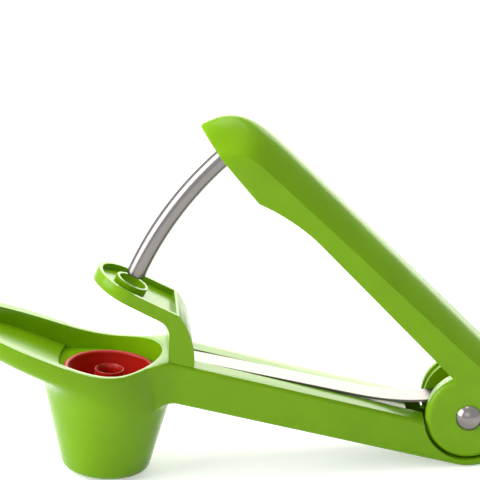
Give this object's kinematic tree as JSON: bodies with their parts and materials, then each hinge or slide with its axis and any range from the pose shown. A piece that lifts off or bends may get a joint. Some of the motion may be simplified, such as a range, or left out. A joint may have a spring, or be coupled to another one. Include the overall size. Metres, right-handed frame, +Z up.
{
  "type": "cherry pitter",
  "caption": "Hand-held cherry pitter: boat-shaped tray with cup foot and ring insert, guide arm, and a sprung lever with an arched plunger rod.",
  "frame": {"origin": "centre of the cup's flat foot, which stands on the table", "axes": "+X along the handle to the hinge, +Z up out of the cup, the part is symmetric about the XZ plane"},
  "size_m": [0.1809, 0.0414, 0.1168],
  "materials": {
    "body_plastic": "glossy injection-moulded ABS, apple green",
    "lever_plastic": "glossy injection-moulded ABS, apple green",
    "insert_rubber": "satin silicone rubber, red",
    "polished_steel": "polished stainless steel",
    "spring_steel": "rolled stainless spring steel",
    "screw_steel": "plain steel screws"
  },
  "bodies": {
    "base": {"lower_body": "body_plastic", "cup_insert": "insert_rubber", "guide_arm": "body_plastic", "arm_screws": "screw_steel", "leaf_spring": "spring_steel", "hinge_bush": "spring_steel", "pivot_pin": "polished_steel", "pivot_cap": "polished_steel"},
    "lever": {"lever": "lever_plastic", "plunger_rod": "polished_steel", "rod_pin": "spring_steel"}
  },
  "joints": [
    {"name": "lever_hinge", "type": "hinge", "parent": "base", "child": "lever", "pos_m": [0.1118, 0, 0.0238], "axis": [0, -1, 0], "range_deg": [0, 25.5], "stiffness_Nm_per_rad": 0.5, "springref_deg": -22.92, "deforming": ["leaf_spring"]}
  ]
}
